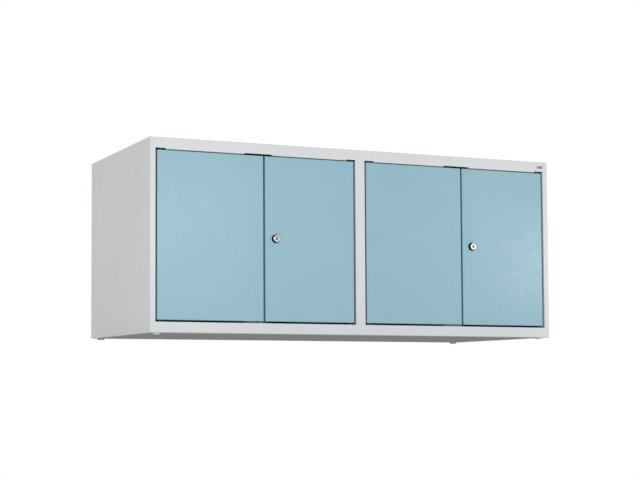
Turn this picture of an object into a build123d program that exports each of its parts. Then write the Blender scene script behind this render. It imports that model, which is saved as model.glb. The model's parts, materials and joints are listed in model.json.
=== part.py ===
from build123d import *
import os

os.makedirs("parts", exist_ok=True)

# ---- overall size (mm) ----
width = 1190.0
depth = 500.0
height = 500.0
foot_height = 4.0
sheet = 1.0
leaf_set_back = 2.0
lock_out = 8.0
lock_proud = lock_out - leaf_set_back

front = -(depth + lock_proud) / 2 + lock_proud
back = front + depth
low = foot_height
high = height
mid_y = (front + back) / 2
mid_z = (low + high) / 2
half = width / 2

# ---- front frame ----
post_width = 15.0
centre_post_width = 28.0
bay_left = -(half - post_width)
bay_width = half - post_width - centre_post_width / 2
bay_right = bay_left + bay_width
bay_shift = bay_width + centre_post_width
bay_mid = bay_left + bay_width / 2
opening_low = 31.6
opening_high = 470.2
opening_height = opening_high - opening_low
opening_mid = (opening_low + opening_high) / 2
corner_r = 2.0
opening_edge_r = 1.5
flange_depth = 24.0
wrap_depth = 12.0
hinge_notch = 27.0
middle_notch = 78.0
notch_start = 1.6
notch_relief = 2.3
notch_clear = 0.2

# ---- door leaves, hung a little behind the face of the frame ----
leaf_gap = 4.8
top_gap = 2.0
seam_offset = 17.3
leaf_thick = 20.0
leaf_edge_r = 1.5
lip = 12.0
leaf_face = front + leaf_set_back
leaf_low = opening_low + leaf_gap
leaf_high = opening_high - top_gap
leaf_mid = (leaf_low + leaf_high) / 2
leaf_height = leaf_high - leaf_low
seam_x = bay_mid + seam_offset

# ---- stiffening channels on the leaves ----
hat_deep = 16.0
hat_width = 40.0
hat_foot = 15.0
hat_short = 60.0

# ---- pivots ----
pivot_in = 10.0
pivot_back = 7.0
pin_r = 3.0
pin_shoulder_r = 4.4
pin_clearance = 0.05
pin_tip = 1.5
bush_r = 4.5
bush_flange_r = 6.0
bush_flange = 1.0
bush_length = 9.0
bracket_thick = 2.0
bracket_width = 30.0
bracket_inset = 2.5
bracket_leg = 18.0
bracket_deep = 20.0
bracket_lift = 8.4
play = 0.3
pivot_y = leaf_face + pivot_back

# ---- locks ----
lock_from_seam = 32.2
rosette_r = 11.4
rosette_out = 6.6
rosette_taper = 24
barrel_r = 8.0
barrel_back = 27.0
barrel_short = 4.5
barrel_edge_r = 0.8
bore_r = 6.5
plug_r = 6.45
plug_in = 0.5
keyway_width = 2.6
keyway_height = 8.8
keyway_deep = 14.0
nut_r = 12.5
nut_thick = 6.0
cam_thick = 2.5
cam_width = 12.0
cam_reach = 34.0
cam_hub_r = 8.5
cam_square = 7.5
cam_screw_r = 2.0
cam_screw_head_r = 6.0
cam_screw_head = 2.5
cam_screw_long = 8.0
cam_screw_hole = 9.0
driver_slot_long = 9.0
driver_slot_deep = 2.0
driver_slot_wide = 1.4
lock_x = seam_x + lock_from_seam
nose = leaf_face - lock_out
lock_tail = leaf_face + barrel_back

# ---- hidden middle posts ----
mid_post_width = 60.0
mid_post_face = leaf_face + 22.0
mid_post_deep = 25.0
mid_post_top_gap = 38.0
partition_flange = 15.0
centre_flange_start = front + 60.0
mid_flange_start = mid_post_face + 51.0
cam_slot_height = 44.0
cam_slot_clear = 3.0

# ---- magnets and buffers ----
magnet_width = 10.0
magnet_deep = 14.0
magnet_height = 26.0
magnet_x = seam_x - 8.0
magnet_z = opening_high - 52.0
magnet_gap = 0.5
buffer_r = 4.0
buffer_thick = 1.5
buffer_left_of_seam = 9.0
buffer_right_of_seam = 7.4
buffer_above_edge = 50.0
buffer_below_edge = 90.0

# ---- feet and fixing holes ----
foot_x = 572.0
foot_y = 232.0
foot_r = 10.0
foot_edge_r = 1.0
screw_r = 3.0
screw_top = 12.0
glide_nut_r = 5.7
glide_nut_thick = 4.5
fixing_x = 520.0
fixing_y = 180.0
fixing_r = 4.5

# ---- badge ----
badge_x = 570.5
badge_z = 484.5
badge_width = 17.0
badge_height = 7.0
badge_thick = 0.5
badge_r = 1.0

# ---- how close an edge has to lie to a plane to be picked ----
tiny = 0.01


def face_plane(y):
    # sketch plane facing the front, at one depth
    return Plane.XZ.offset(-y)


# ================= carcass =================

# welded front frame: one folded sheet with two door openings
with BuildPart() as front_frame:
    with Locations((0, front + wrap_depth / 2, mid_z)):
        Box(width, wrap_depth, high - low)
    fillet(front_frame.edges().filter_by_position(Axis.Y, front - tiny, front + tiny), radius=corner_r)
    with Locations((0, front + sheet + wrap_depth / 2, mid_z)):
        Box(width - 2 * sheet, wrap_depth, high - low - 2 * sheet, mode=Mode.SUBTRACT)
    for shift in (0.0, bay_shift):
        x = bay_mid + shift
        # folded return all round the opening
        with Locations((x, front + (sheet / 2 + flange_depth) / 2, opening_mid)):
            Box(bay_width + 2 * sheet, flange_depth - sheet / 2, opening_height + 2 * sheet)
        with Locations((x, front + flange_depth / 2, opening_mid)):
            Box(bay_width, flange_depth + 2 * sheet, opening_height, mode=Mode.SUBTRACT)
    opening_edges = []
    for e in front_frame.edges().filter_by_position(Axis.Y, front - tiny, front + tiny):
        c = e.center()
        if abs(c.X) < half - post_width / 2 and opening_low - sheet < c.Z < opening_high + sheet:
            opening_edges.append(e)
    fillet(opening_edges, radius=opening_edge_r)
    # notches in the returns for the pivots and the middle post, with bend relief in the top rail
    for shift in (0.0, bay_shift):
        notches = (
            (bay_left + shift + hinge_notch / 2, hinge_notch),
            (bay_mid + shift, middle_notch),
            (bay_right + shift - hinge_notch / 2, hinge_notch),
        )
        for (x, w) in notches:
            for z in (opening_low - sheet / 2, opening_high + sheet / 2):
                with Locations((x, front + notch_start + flange_depth / 2, z)):
                    Box(w, flange_depth, sheet + notch_clear, mode=Mode.SUBTRACT)
            with Locations((x, front + sheet, opening_high + notch_relief / 2)):
                Box(w, 2 * (sheet + notch_clear), notch_relief, mode=Mode.SUBTRACT)

# side panels butt flush against the folded edge of the front frame
side_depth = back - sheet - front - wrap_depth
side_y = front + wrap_depth + side_depth / 2
with BuildPart() as side_panel_left:
    with Locations((-half + sheet / 2, side_y, mid_z)):
        Box(sheet, side_depth, high - low)

with BuildPart() as side_panel_right:
    with Locations((half - sheet / 2, side_y, mid_z)):
        Box(sheet, side_depth, high - low)

# flat roof and bottom sheets, welded flush between the side panels
inner_width = width - 2 * sheet
with BuildPart() as roof_panel:
    with Locations((0, side_y, high - sheet / 2)):
        Box(inner_width, side_depth, sheet)

with BuildPart() as bottom_panel:
    with Locations((0, side_y, low + sheet / 2)):
        Box(inner_width, side_depth, sheet)
    for sx in (-1, 1):
        for sy in (-1, 1):
            with Locations((sx * fixing_x, mid_y + sy * fixing_y, low + sheet / 2)):
                Cylinder(fixing_r, 2 * sheet, mode=Mode.SUBTRACT)
            with Locations((sx * foot_x, mid_y + sy * foot_y, low + sheet / 2)):
                Cylinder(screw_r, 2 * sheet, mode=Mode.SUBTRACT)

with BuildPart() as back_panel:
    with Locations((0, back - sheet / 2, mid_z)):
        Box(width, sheet, high - low)

# ---- upright walls inside ----
inner_low = low + sheet
inner_high = high - sheet
inner_height = inner_high - inner_low
wall_back = back - sheet


def upright_wall(x, y_start, flange_start):
    # thin wall with welding flanges along the bottom, the roof and the back
    flange_x = x + partition_flange / 2
    flange_length = wall_back - flange_start
    with BuildPart() as wall:
        with Locations((x, (y_start + wall_back) / 2, mid_z)):
            Box(sheet, wall_back - y_start, inner_height)
        for z in (inner_low + sheet / 2, inner_high - sheet / 2):
            with Locations((flange_x, flange_start + flange_length / 2, z)):
                Box(partition_flange, flange_length, sheet)
        with Locations((flange_x, wall_back - sheet / 2, mid_z)):
            Box(partition_flange, sheet, inner_height)
    return wall.part


# hidden middle post of one bay, open at the top where it passes the notch
def middle_post(shift):
    x = bay_mid + shift
    with BuildPart() as post:
        with Locations((x, mid_post_face + sheet / 2, mid_z)):
            Box(mid_post_width, sheet, inner_height)
        for s in (-1, 1):
            side_x = x + s * (mid_post_width - sheet) / 2
            with Locations((side_x, mid_post_face + mid_post_deep / 2, mid_z)):
                Box(sheet, mid_post_deep, inner_height)
        with Locations((x, mid_post_face, inner_high - mid_post_top_gap / 2)):
            Box(mid_post_width + 2 * sheet, 6 * sheet, mid_post_top_gap, mode=Mode.SUBTRACT)
        # slot for the lock cam in the right-hand return
        slot_front = mid_post_face + 1.2 * sheet
        slot_back = lock_tail + cam_slot_clear
        slot_z = leaf_mid - (cam_reach - cam_width) / 2
        with Locations((x + mid_post_width / 2, (slot_front + slot_back) / 2, slot_z)):
            Box(4 * sheet, slot_back - slot_front, cam_slot_height, mode=Mode.SUBTRACT)
        # window for the magnet behind the left leaf's free edge
        with Locations((magnet_x + shift, mid_post_face, magnet_z)):
            Box(magnet_width, 4 * sheet, magnet_height, mode=Mode.SUBTRACT)
    return post.part


# ================= pivot hardware =================

pivots = {
    1: bay_left + leaf_gap + pivot_in,
    2: bay_right - leaf_gap - pivot_in,
    3: bay_left + bay_shift + leaf_gap + pivot_in,
    4: bay_right + bay_shift - leaf_gap - pivot_in,
}
edge_side = {1: -1, 2: 1, 3: -1, 4: 1}


def bracket_seat(s_z):
    # height at which a bracket's flat leg sits, hidden behind the rail
    if s_z > 0:
        return opening_high + sheet + bracket_lift
    return opening_low - sheet


def pivot_bracket(leaf, s_z):
    # angle plate welded inside the frame, its flat leg carrying the pin
    x = pivots[leaf]
    centre_x = x - edge_side[leaf] * bracket_inset
    seat = bracket_seat(s_z)
    y_front = front + sheet
    with BuildPart() as bracket:
        with Locations((centre_x, y_front + bracket_deep / 2, seat + s_z * bracket_thick / 2)):
            Box(bracket_width, bracket_deep, bracket_thick)
        with Locations((centre_x, y_front + bracket_thick / 2, seat + s_z * bracket_leg / 2)):
            Box(bracket_width, bracket_thick, bracket_leg)
        with Locations((x, pivot_y, seat + s_z * bracket_thick / 2)):
            Cylinder(pin_r, 2 * bracket_thick, mode=Mode.SUBTRACT)
    return bracket.part


# eight shouldered pins pressed into the brackets
with BuildPart() as pivot_pins:
    for leaf in (1, 2, 3, 4):
        for s_z in (-1, 1):
            seat = bracket_seat(s_z)
            face = (leaf_high if s_z > 0 else leaf_low) + s_z * bush_flange
            shoulder_end = face + s_z * play
            pin_end = face - s_z * (bush_length + bush_flange + pin_tip)
            outer_end = seat + s_z * bracket_thick
            with Locations((pivots[leaf], pivot_y, (outer_end + pin_end) / 2)):
                Cylinder(pin_r, abs(outer_end - pin_end))
            with Locations((pivots[leaf], pivot_y, (seat + shoulder_end) / 2)):
                Cylinder(pin_shoulder_r, abs(seat - shoulder_end))


# ================= door leaves =================

bounds = {
    1: (bay_left + leaf_gap, seam_x - leaf_gap / 2),
    2: (seam_x + leaf_gap / 2, bay_right - leaf_gap),
    3: (bay_left + bay_shift + leaf_gap, seam_x + bay_shift - leaf_gap / 2),
    4: (seam_x + bay_shift + leaf_gap / 2, bay_right + bay_shift - leaf_gap),
}
locks = {2: lock_x, 4: lock_x + bay_shift}


def leaf_pan(leaf):
    # folded tray: face, four edges and a lip turned in all round
    x0, x1 = bounds[leaf]
    w = x1 - x0
    x = (x0 + x1) / 2
    y = leaf_face + leaf_thick / 2
    with BuildPart() as pan:
        with Locations((x, y, leaf_mid)):
            Box(w, leaf_thick, leaf_height)
        fillet(pan.edges().filter_by_position(Axis.Y, leaf_face - tiny, leaf_face + tiny), radius=leaf_edge_r)
        with Locations((x, y, leaf_mid)):
            Box(w - 2 * sheet, leaf_thick - 2 * sheet, leaf_height - 2 * sheet, mode=Mode.SUBTRACT)
        with Locations((x, leaf_face + leaf_thick, leaf_mid)):
            Box(w - 2 * lip, 4 * sheet, leaf_height - 2 * lip, mode=Mode.SUBTRACT)
        for z in (leaf_low, leaf_high):
            with Locations((pivots[leaf], pivot_y, z)):
                Cylinder(bush_r, 6 * sheet, mode=Mode.SUBTRACT)
        if leaf in locks:
            with BuildSketch(face_plane(leaf_face - sheet)):
                with Locations((locks[leaf], leaf_mid)):
                    Circle(barrel_r)
            extrude(amount=-4 * sheet, mode=Mode.SUBTRACT)
    return pan.part


def leaf_stiffener(leaf):
    # top-hat channel spot-welded to the back of the leaf's skin
    x0, x1 = bounds[leaf]
    x = (x0 + x1) / 2
    skin = leaf_face + sheet
    tall = leaf_height - hat_short
    with BuildPart() as channel:
        with Locations((x, skin + hat_deep - sheet / 2, leaf_mid)):
            Box(hat_width, sheet, tall)
        for s in (-1, 1):
            with Locations((x + s * (hat_width - sheet) / 2, skin + hat_deep / 2, leaf_mid)):
                Box(sheet, hat_deep, tall)
            with Locations((x + s * (hat_width + hat_foot - sheet) / 2, skin + sheet / 2, leaf_mid)):
                Box(hat_foot, sheet, tall)
    return channel.part


def leaf_bushes(leaf):
    with BuildPart() as bushes:
        for s_z in (-1, 1):
            face = leaf_high if s_z > 0 else leaf_low
            with Locations((pivots[leaf], pivot_y, face - s_z * bush_length / 2)):
                Cylinder(bush_r, bush_length)
            with Locations((pivots[leaf], pivot_y, face + s_z * bush_flange / 2)):
                Cylinder(bush_flange_r, bush_flange)
            with Locations((pivots[leaf], pivot_y, face)):
                Cylinder(pin_r + pin_clearance, 4 * bush_length, mode=Mode.SUBTRACT)
    return bushes.part


# ================= cam locks =================

def lock_rosette(x):
    # black cone around the lock's nose
    with BuildPart() as ring:
        with BuildSketch(face_plane(leaf_face)):
            with Locations((x, leaf_mid)):
                Circle(rosette_r)
        extrude(amount=rosette_out, taper=rosette_taper)
        with BuildSketch(face_plane(nose)):
            with Locations((x, leaf_mid)):
                Circle(barrel_r)
        extrude(amount=-2 * lock_out, mode=Mode.SUBTRACT)
    return ring.part


def lock_barrel(x):
    with BuildPart() as barrel:
        with BuildSketch(face_plane(nose)):
            with Locations((x, leaf_mid)):
                Circle(barrel_r)
        extrude(amount=-(lock_out + barrel_back - barrel_short))
        fillet(barrel.edges().filter_by_position(Axis.Y, nose - tiny, nose + tiny), radius=barrel_edge_r)
        with BuildSketch(face_plane(nose)):
            with Locations((x, leaf_mid)):
                Circle(bore_r)
        extrude(amount=-(lock_out + barrel_back), mode=Mode.SUBTRACT)
    return barrel.part


def lock_nut(x):
    # hexagon nut on the barrel, behind the leaf's skin
    with BuildPart() as nut:
        with BuildSketch(face_plane(leaf_face + sheet)):
            with Locations((x, leaf_mid)):
                RegularPolygon(nut_r, 6)
                Circle(barrel_r, mode=Mode.SUBTRACT)
        extrude(amount=-nut_thick)
    return nut.part


def lock_plug(x):
    plug_face = nose + plug_in
    cam_face = lock_tail - cam_thick
    with BuildPart() as plug:
        with BuildSketch(face_plane(plug_face)):
            with Locations((x, leaf_mid)):
                Circle(plug_r)
        extrude(amount=-(cam_face - plug_face))
        # square end carrying the cam
        with BuildSketch(face_plane(cam_face)):
            with Locations((x, leaf_mid)):
                Rectangle(cam_square, cam_square)
        extrude(amount=-cam_thick)
        # keyway
        with Locations((x, plug_face + keyway_deep / 2, leaf_mid)):
            Box(keyway_width, keyway_deep, keyway_height, mode=Mode.SUBTRACT)
        # hole for the cam screw
        with BuildSketch(face_plane(lock_tail)):
            with Locations((x, leaf_mid)):
                Circle(cam_screw_r)
        extrude(amount=cam_screw_hole, mode=Mode.SUBTRACT)
    return plug.part


def lock_cam(x):
    with BuildPart() as cam:
        with BuildSketch(face_plane(lock_tail - cam_thick)):
            with Locations((x, leaf_mid)):
                Circle(cam_hub_r)
            with Locations((x, leaf_mid - (cam_reach - cam_width / 2) / 2)):
                Rectangle(cam_width, cam_reach - cam_width / 2)
            with Locations((x, leaf_mid - cam_reach + cam_width / 2)):
                Circle(cam_width / 2)
            with Locations((x, leaf_mid)):
                Rectangle(cam_square, cam_square, mode=Mode.SUBTRACT)
        extrude(amount=-cam_thick)
    return cam.part


def cam_screw(x):
    with BuildPart() as screw:
        with BuildSketch(face_plane(lock_tail)):
            with Locations((x, leaf_mid)):
                Circle(cam_screw_head_r)
        extrude(amount=-cam_screw_head)
        with BuildSketch(face_plane(lock_tail)):
            with Locations((x, leaf_mid)):
                Circle(cam_screw_r)
        extrude(amount=cam_screw_long)
        # driver slot
        with Locations((x, lock_tail + cam_screw_head, leaf_mid)):
            Box(driver_slot_long, driver_slot_deep, driver_slot_wide, mode=Mode.SUBTRACT)
    return screw.part


# ================= small fittings =================

def magnet_catch(shift):
    # magnet block, its face just short of the leaf's lip
    magnet_face = leaf_face + leaf_thick + magnet_gap
    with BuildPart() as magnet:
        with Locations((magnet_x + shift, magnet_face + magnet_deep / 2, magnet_z)):
            Box(magnet_width, magnet_deep, magnet_height)
    return magnet.part


# eight soft buffers on the two middle posts
with BuildPart() as door_buffers:
    for shift in (0.0, bay_shift):
        for x in (seam_x + shift - buffer_left_of_seam, seam_x + shift + buffer_right_of_seam):
            for z in (leaf_low + buffer_above_edge, leaf_high - buffer_below_edge):
                with BuildSketch(face_plane(mid_post_face)):
                    with Locations((x, z)):
                        Circle(buffer_r)
                extrude(amount=buffer_thick)


def foot(sx, sy):
    with BuildPart() as glide:
        with Locations((sx * foot_x, mid_y + sy * foot_y, foot_height / 2)):
            Cylinder(foot_r, foot_height)
        fillet(glide.edges().filter_by_position(Axis.Z, -tiny, tiny), radius=foot_edge_r)
        with Locations((sx * foot_x, mid_y + sy * foot_y, foot_height)):
            Cylinder(screw_r, 2 * (foot_height - foot_edge_r), mode=Mode.SUBTRACT)
    return glide.part


# four identical screws with nuts hold the glides
with BuildPart() as glide_screws:
    for sx in (-1, 1):
        for sy in (-1, 1):
            place = (sx * foot_x, mid_y + sy * foot_y)
            with Locations((place[0], place[1], (foot_edge_r + screw_top) / 2)):
                Cylinder(screw_r, screw_top - foot_edge_r)
            with BuildSketch(Plane.XY.offset(low + sheet)):
                with Locations(place):
                    RegularPolygon(glide_nut_r, 6)
            extrude(amount=glide_nut_thick)

# blank badge on the right end of the top rail
with BuildPart() as badge:
    with Locations((badge_x, front - badge_thick / 2, badge_z)):
        Box(badge_width, badge_thick, badge_height)
    fillet(badge.edges().filter_by(Axis.Y), radius=badge_r)


# ================= export =================

pieces = {
    "front_frame": front_frame.part,
    "side_panel_left": side_panel_left.part,
    "side_panel_right": side_panel_right.part,
    "roof_panel": roof_panel.part,
    "bottom_panel": bottom_panel.part,
    "back_panel": back_panel.part,
    "centre_partition": upright_wall(0.0, front + sheet, centre_flange_start),
    "mid_post_left": middle_post(0.0),
    "mid_post_right": middle_post(bay_shift),
    "mid_partition_left": upright_wall(bay_mid, mid_post_face + sheet, mid_flange_start),
    "mid_partition_right": upright_wall(bay_mid + bay_shift, mid_post_face + sheet, mid_flange_start),
    "pivot_pins": pivot_pins.part,
    "magnet_catch_left": magnet_catch(0.0),
    "magnet_catch_right": magnet_catch(bay_shift),
    "door_buffers": door_buffers.part,
    "foot_front_left": foot(-1, -1),
    "foot_front_right": foot(1, -1),
    "foot_back_left": foot(-1, 1),
    "foot_back_right": foot(1, 1),
    "glide_screws": glide_screws.part,
    "badge": badge.part,
}
for leaf in (1, 2, 3, 4):
    pieces["leaf_%d_pan" % leaf] = leaf_pan(leaf)
    pieces["leaf_%d_stiffener" % leaf] = leaf_stiffener(leaf)
    pieces["leaf_%d_bushes" % leaf] = leaf_bushes(leaf)
    pieces["pivot_bracket_%d_top" % leaf] = pivot_bracket(leaf, 1)
    pieces["pivot_bracket_%d_bottom" % leaf] = pivot_bracket(leaf, -1)
for (side, leaf) in (("left", 2), ("right", 4)):
    x = locks[leaf]
    pieces["lock_%s_rosette" % side] = lock_rosette(x)
    pieces["lock_%s_barrel" % side] = lock_barrel(x)
    pieces["lock_%s_nut" % side] = lock_nut(x)
    pieces["lock_%s_plug" % side] = lock_plug(x)
    pieces["lock_%s_cam" % side] = lock_cam(x)
    pieces["lock_%s_cam_screw" % side] = cam_screw(x)

for name, part in pieces.items():
    part.label = name
    export_step(part, "parts/" + name + ".step")
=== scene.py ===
import json
import math

import bpy
from mathutils import Matrix, Vector


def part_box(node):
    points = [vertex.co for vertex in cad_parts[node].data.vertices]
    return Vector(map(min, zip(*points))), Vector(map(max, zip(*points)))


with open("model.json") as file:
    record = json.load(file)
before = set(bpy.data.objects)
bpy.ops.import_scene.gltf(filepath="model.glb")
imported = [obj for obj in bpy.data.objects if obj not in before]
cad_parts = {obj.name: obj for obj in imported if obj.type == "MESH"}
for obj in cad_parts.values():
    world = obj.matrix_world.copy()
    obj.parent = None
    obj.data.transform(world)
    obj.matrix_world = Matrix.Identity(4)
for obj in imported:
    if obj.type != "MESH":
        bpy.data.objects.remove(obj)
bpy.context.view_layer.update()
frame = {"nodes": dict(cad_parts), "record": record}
nodes = frame["nodes"]

scene = bpy.context.scene

FRONT_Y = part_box("front_frame")[0].y

# round dimples of the spot welds on the back, with painted shade in them
WELD_PITCH = 0.062
WELD_CORE_R = 0.0022
WELD_EDGE_R = 0.0034
WELD_IN = 0.010
HALF_FLANGE = 0.0075

# painted shade inside the keyways, from just behind the plug's face: the slot walls are darkened where
# shade falls
KEYWAY_PAINTED_SHADE = (0.015, 0.014, 0.013)
KEYWAY_SHADE_STARTS = 0.0002
KEYWAY_SHADE_FULL = 0.0008


# ---------------------------------------------------------------- camera

def add_camera():
    """The photographer's place: low, in front of the left corner, looking slightly up."""
    yaw = 0.39174
    pitch = 0.05917
    roll = -0.00209
    body_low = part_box("front_frame")[0].z
    middle_y = (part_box("front_frame")[0].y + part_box("back_panel")[1].y) / 2
    data = bpy.data.cameras.new("studio_camera")
    data.sensor_width = 36.0
    data.lens = 82.48
    data.shift_x = 0.1406
    data.shift_y = 0.0938
    data.clip_end = 60.0
    camera = bpy.data.objects.new("studio_camera", data)
    left_of_middle = 1.8115
    in_front_of_middle = 3.7213
    below_body = 0.1367
    place = Vector((-left_of_middle, middle_y - in_front_of_middle, body_low - below_body))
    turn = (
        Matrix.Rotation(-yaw, 4, "Z")
        @ Matrix.Rotation(math.pi / 2 + pitch, 4, "X")
        @ Matrix.Rotation(roll, 4, "Z")
    )
    camera.matrix_world = Matrix.Translation(place) @ turn
    scene.collection.objects.link(camera)
    scene.camera = camera


# ---------------------------------------------------------------- material helpers

def srgb(r, g, b):
    """A colour given as 0 to 255 screen values, in the linear numbers that shaders use."""
    out = []
    for c in (r, g, b):
        c = c / 255.0
        out.append(c / 12.92 if c <= 0.04045 else ((c + 0.055) / 1.055) ** 2.4)
    return tuple(out)


def scaled(colour, factor):
    return tuple(c * factor for c in colour)


class Nodes:
    """Short names for building one node material."""

    def __init__(self, name):
        self.material = bpy.data.materials.new(name)
        self.material.use_nodes = True
        self.tree = self.material.node_tree
        self.shader = self.tree.nodes["Principled BSDF"]
        self.coords = self.tree.nodes.new("ShaderNodeTexCoord").outputs["Object"]

    def add(self, kind, **settings):
        node = self.tree.nodes.new(kind)
        for key, value in settings.items():
            setattr(node, key, value)
        return node

    def link(self, source, target):
        self.tree.links.new(source, target)

    def along(self, axis):
        """The place on the piece along one of its own axes, in metres."""
        split = self.add("ShaderNodeSeparateXYZ")
        self.link(self.coords, split.inputs[0])
        return split.outputs[axis]

    def noise(self, scale, detail=2.0, roughness=0.5, stretch=None):
        node = self.add("ShaderNodeTexNoise")
        node.inputs["Scale"].default_value = scale
        node.inputs["Detail"].default_value = detail
        node.inputs["Roughness"].default_value = roughness
        source = self.coords
        if stretch:
            mapping = self.add("ShaderNodeMapping")
            mapping.inputs["Scale"].default_value = stretch
            self.link(source, mapping.inputs["Vector"])
            source = mapping.outputs["Vector"]
        self.link(source, node.inputs["Vector"])
        return node.outputs["Fac"]

    def span(self, value, low, high, new_low, new_high):
        node = self.add("ShaderNodeMapRange")
        limits = {"From Min": low, "From Max": high, "To Min": new_low, "To Max": new_high}
        for key, number in limits.items():
            node.inputs[key].default_value = number
        self.link(value, node.inputs["Value"])
        return node.outputs["Result"]

    def calc(self, operation, first, second=0.0):
        node = self.add("ShaderNodeMath", operation=operation)
        for socket, value in zip(node.inputs, (first, second)):
            if isinstance(value, float):
                socket.default_value = value
            else:
                self.link(value, socket)
        return node.outputs[0]

    def multiply(self, first, second):
        return self.calc("MULTIPLY", first, second)

    def distance(self, first, second):
        squares = self.calc("ADD", self.multiply(first, first), self.multiply(second, second))
        return self.calc("SQRT", squares)

    def nearest(self, value, places):
        """How far a value is from the nearest of some places."""
        gaps = [self.calc("ABSOLUTE", self.calc("SUBTRACT", value, place)) for place in places]
        best = gaps[0]
        for gap in gaps[1:]:
            best = self.calc("MINIMUM", best, gap)
        return best

    def weld_spots(self, columns, rows):
        """1 inside the round marks of spot welds along upright columns and level rows, 0 elsewhere."""
        x = self.along("X")
        z = self.along("Z")
        on_columns = self.distance(self.nearest(x, columns), self.calc("PINGPONG", z, WELD_PITCH / 2))
        on_rows = self.distance(self.nearest(z, rows), self.calc("PINGPONG", x, WELD_PITCH / 2))
        off_centre = self.calc("MINIMUM", on_columns, on_rows)
        return self.span(off_centre, WELD_CORE_R, WELD_EDGE_R, 1.0, 0.0)

    def mix(self, factor, first, second):
        node = self.add("ShaderNodeMix", data_type="RGBA")
        for socket, value in ((node.inputs[6], first), (node.inputs[7], second)):
            if isinstance(value, tuple):
                socket.default_value = (*value, 1.0)
            else:
                self.link(value, socket)
        self.link(factor, node.inputs[0])
        return node.outputs[2]

    def edges(self, radius):
        """1 on sharp edges, 0 on flat faces, by how far the rounded normal turns from the true one."""
        turned, flat = 0.65, 0.98
        bevel = self.add("ShaderNodeBevel", samples=4)
        bevel.inputs["Radius"].default_value = radius
        geometry = self.add("ShaderNodeNewGeometry")
        dot = self.add("ShaderNodeVectorMath", operation="DOT_PRODUCT")
        self.link(bevel.outputs["Normal"], dot.inputs[0])
        self.link(geometry.outputs["Normal"], dot.inputs[1])
        return self.span(dot.outputs["Value"], turned, flat, 1.0, 0.0)

    def bump(self, height, distance, strength=1.0, after=None):
        node = self.add("ShaderNodeBump")
        node.inputs["Distance"].default_value = distance
        node.inputs["Strength"].default_value = strength
        self.link(height, node.inputs["Height"])
        if after:
            self.link(after, node.inputs["Normal"])
        return node.outputs["Normal"]


# ---------------------------------------------------------------- materials

def powder_coat(name, colour, shade, worn, roughness, welds=None):
    """Powder coat: orange peel, slow colour drift, faint specks and a thinner, paler coat along edges.

    welds gives the columns and rows of spot-weld dimples, darkened with painted shade, if the piece has
    any.
    """
    n = Nodes(name)
    drift = n.span(n.noise(3.0, 3.0), 0.35, 0.65, 0.0, 1.0)
    base = n.mix(drift, colour, shade)
    speck = n.span(n.noise(900.0, 1.0), 0.60, 0.78, 0.0, 0.06)
    base = n.mix(speck, base, scaled(shade, 0.75))
    rub = n.multiply(n.edges(0.0012), n.span(n.noise(45.0, 4.0, 0.6), 0.45, 0.70, 0.0, 0.45))
    base = n.mix(rub, base, worn)
    spots = n.weld_spots(*welds) if welds else None
    # painted shade: the colour is darkened inside the weld dimples, on top of their bump
    if welds:
        base = n.mix(n.span(spots, 0.0, 1.0, 0.0, 0.5), base, scaled(shade, 0.70))
    n.link(base, n.shader.inputs["Base Color"])
    rough = n.span(n.noise(60.0, 3.0), 0.3, 0.7, roughness - 0.05, roughness + 0.05)
    n.link(rough, n.shader.inputs["Roughness"])
    peel = n.bump(n.noise(420.0, 2.0), 0.00003, 0.6)
    normal = n.bump(n.noise(14.0, 1.0), 0.0005, 0.2, after=peel)
    if welds:
        normal = n.bump(n.span(spots, 0.0, 1.0, 1.0, 0.0), 0.0004, 1.0, after=normal)
    n.link(normal, n.shader.inputs["Normal"])
    return n.material


def metal(name, colour, roughness, grain, stretch=None, metallic=1.0, face_y=None):
    """Bare or plated metal with blotches in its tone and fine scratches in its gloss.

    Where face_y is given, everything behind that place along the piece's own y is darkened: painted
    shade for the recess of the keyway.
    """
    n = Nodes(name)
    tone = n.span(n.noise(grain, 4.0, 0.6, stretch), 0.3, 0.7, 0.0, 1.0)
    blotch = n.span(n.noise(40.0, 3.0), 0.35, 0.65, 0.0, 1.0)
    base = n.mix(blotch, colour, scaled(colour, 0.86))
    # painted shade: behind the plug's face the colour goes dark, standing in for shade in the keyway
    if face_y is not None:
        keyway_shade = n.span(n.along("Y"), face_y + KEYWAY_SHADE_STARTS, face_y + KEYWAY_SHADE_FULL, 0.0, 1.0)
        base = n.mix(keyway_shade, base, KEYWAY_PAINTED_SHADE)
    n.link(base, n.shader.inputs["Base Color"])
    n.link(n.span(tone, 0.0, 1.0, roughness * 0.8, roughness * 1.25), n.shader.inputs["Roughness"])
    n.link(n.bump(tone, 0.00002, 0.4), n.shader.inputs["Normal"])
    n.shader.inputs["Metallic"].default_value = metallic
    return n.material


def plug_metal(name, colour, roughness):
    """Turned nickel, darkened below the face, so inside the keyway, as painted shade in that recess.
    Both plugs share it.
    """
    plug = nodes["lock_left_plug"]
    face_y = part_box("lock_left_plug")[0].y
    face = plug.matrix_world.inverted() @ Vector((0.0, face_y, 0.0))
    return metal(name, colour, roughness, 420.0, face_y=face.y)


def moulded(name, colour, roughness, sheen=0.5):
    """Moulded plastic or rubber: a fine skin texture and slightly greyer, scuffed edges."""
    n = Nodes(name)
    tone = n.span(n.noise(500.0, 3.0), 0.3, 0.7, 0.0, 1.0)
    base = n.mix(tone, colour, scaled(colour, 0.82))
    scuff = n.multiply(n.edges(0.0006), n.span(n.noise(160.0, 3.0), 0.4, 0.7, 0.0, 0.5))
    base = n.mix(scuff, base, tuple(0.7 * c + 0.08 for c in colour))
    n.link(base, n.shader.inputs["Base Color"])
    n.link(n.span(tone, 0.0, 1.0, roughness - 0.06, roughness + 0.06), n.shader.inputs["Roughness"])
    n.link(n.bump(tone, 0.00003, 0.5), n.shader.inputs["Normal"])
    n.shader.inputs["Specular IOR Level"].default_value = sheen
    return n.material


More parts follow.
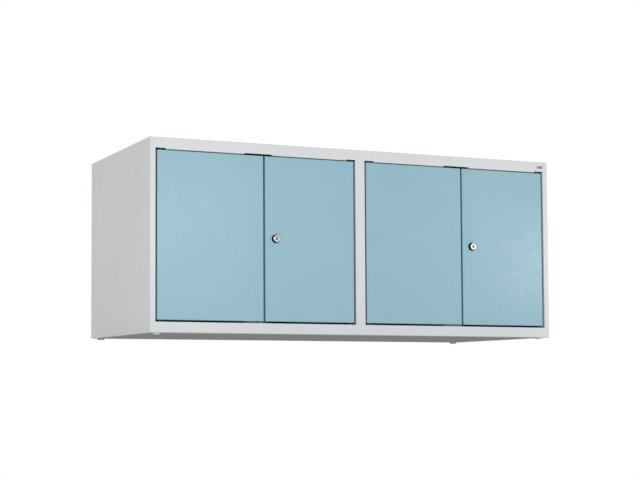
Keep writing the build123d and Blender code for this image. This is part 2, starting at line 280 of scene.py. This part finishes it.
GREY = srgb(182, 184, 185)
GREY_SHADE = srgb(178, 180, 182)
GREY_WORN = srgb(200, 202, 203)
BLUE = srgb(120, 154, 166)
BLUE_SHADE = srgb(116, 151, 163)
BLUE_WORN = srgb(144, 176, 187)

# the back is spot-welded along its edges and to the flanges of the three upright walls
back_low, back_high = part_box("back_panel")
WALLS = ("centre_partition", "mid_partition_left", "mid_partition_right")
WELD_COLUMNS = [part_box(name)[1].x - HALF_FLANGE for name in WALLS]
WELD_COLUMNS += [back_low.x + WELD_IN, back_high.x - WELD_IN]
WELD_ROWS = [back_low.z + WELD_IN, back_high.z - WELD_IN]

LOOKS = {
    "grey_powder_coat": powder_coat("grey_powder_coat", GREY, GREY_SHADE, GREY_WORN, 0.42),
    "back_grey": powder_coat("back_grey", GREY, GREY_SHADE, GREY_WORN, 0.42, (WELD_COLUMNS, WELD_ROWS)),
    "blue_powder_coat": powder_coat("blue_powder_coat", BLUE, BLUE_SHADE, BLUE_WORN, 0.36),
    "zinc_steel": metal("zinc_steel", (0.52, 0.53, 0.54), 0.38, 260.0),
    "dark_steel": metal("dark_steel", (0.035, 0.035, 0.038), 0.55, 300.0, metallic=0.3),
    "magnet": moulded("magnet", (0.040, 0.038, 0.038), 0.60),
    "buffer_rubber": moulded("buffer_rubber", (0.020, 0.020, 0.020), 0.75),
    "foot_plastic": moulded("foot_plastic", (0.78, 0.78, 0.77), 0.55),
    "badge_plate": metal("badge_plate", (0.19, 0.19, 0.19), 0.42, 300.0, (1.0, 1.0, 20.0), 0.6),
    "bush_plastic": moulded("bush_plastic", (0.015, 0.015, 0.015), 0.5),
    "lock_black": moulded("lock_black", (0.004, 0.005, 0.007), 0.30, sheen=0.22),
    "lock_chrome": metal("lock_chrome", (0.95, 0.96, 0.97), 0.12, 420.0),
    "plug_nickel": plug_metal("plug_nickel", (0.33, 0.33, 0.34), 0.30),
}


def dress_nodes():
    for entry in frame["record"]["subparts"]:
        slot = entry["material_slot"]
        if entry["node"].endswith("_plug"):
            slot = "plug_nickel"
        if entry["node"] == "back_panel":
            slot = "back_grey"
        node = nodes[entry["node"]]
        node.data.materials.clear()
        node.data.materials.append(LOOKS[slot])


# ---------------------------------------------------------------- stage

def add_floor():
    """Pale table that glows faintly, as a lit studio table does.

    The camera stands lower than the feet, so the floor is one-sided: from below it can be seen through.
    """
    size = 20.0
    glow = 0.22
    corners = [(-size, -size, 0), (size, -size, 0), (size, size, 0), (-size, size, 0)]
    mesh = bpy.data.meshes.new("floor")
    mesh.from_pydata(corners, [], [(0, 1, 2, 3)])
    floor = bpy.data.objects.new("floor", mesh)
    scene.collection.objects.link(floor)
    n = Nodes("floor_pale")
    tone = n.span(n.noise(2.0, 2.0), 0.3, 0.7, 0.0, 1.0)
    n.link(n.mix(tone, (0.80, 0.80, 0.80), (0.78, 0.78, 0.78)), n.shader.inputs["Base Color"])
    n.shader.inputs["Roughness"].default_value = 0.9
    n.shader.inputs["Emission Color"].default_value = (1.0, 1.0, 1.0, 1.0)
    n.shader.inputs["Emission Strength"].default_value = glow
    clear = n.add("ShaderNodeBsdfTransparent")
    below = n.add("ShaderNodeNewGeometry").outputs["Backfacing"]
    choose = n.add("ShaderNodeMixShader")
    n.link(below, choose.inputs[0])
    n.link(n.shader.outputs[0], choose.inputs[1])
    n.link(clear.outputs[0], choose.inputs[2])
    n.link(choose.outputs[0], n.tree.nodes["Material Output"].inputs["Surface"])
    mesh.materials.append(n.material)


# name, place, the spot on the cabinet's front that it faces (x, z), width and height, brightness
SOFTBOXES = (
    ("near_left", (-0.80, -0.9, 0.26), (-0.5, 0.26), (0.30, 0.25), 5.8),
    ("near_right", (1.05, -0.9, 0.26), (0.5, 0.26), (0.30, 0.25), 4.4),
    ("strip_left", (-0.12, -1.5, 0.46), (-0.12, 0.46), (0.60, 0.15), 9.4),
    ("box_right", (1.36, -1.5, 0.46), (1.36, 0.46), (0.56, 0.34), 2.6),
    ("low_strip", (0.40, -1.2, 0.08), (0.40, 0.10), (1.20, 0.12), 2.8),
)


def softbox(name, place, target, size, glow):
    """A rectangular light; glow is its brightness next to the white surroundings."""
    data = bpy.data.lights.new(name, "AREA")
    data.shape = "RECTANGLE"
    data.size, data.size_y = size
    data.energy = glow * math.pi * size[0] * size[1]
    light = bpy.data.objects.new(name, data)
    light.location = place
    light.rotation_euler = (Vector(target) - Vector(place)).to_track_quat("-Z", "Y").to_euler()
    scene.collection.objects.link(light)


def add_lights():
    world = bpy.data.worlds.new("studio")
    scene.world = world
    world.use_nodes = True
    background = world.node_tree.nodes["Background"]
    background.inputs["Color"].default_value = (1.0, 1.0, 1.0, 1.0)
    background.inputs["Strength"].default_value = 1.0
    scene.view_settings.view_transform = "Standard"
    for name, place, (aim_x, aim_z), size, glow in SOFTBOXES:
        softbox(name, place, (aim_x, FRONT_Y, aim_z), size, glow)


add_camera()
dress_nodes()
add_floor()
add_lights()
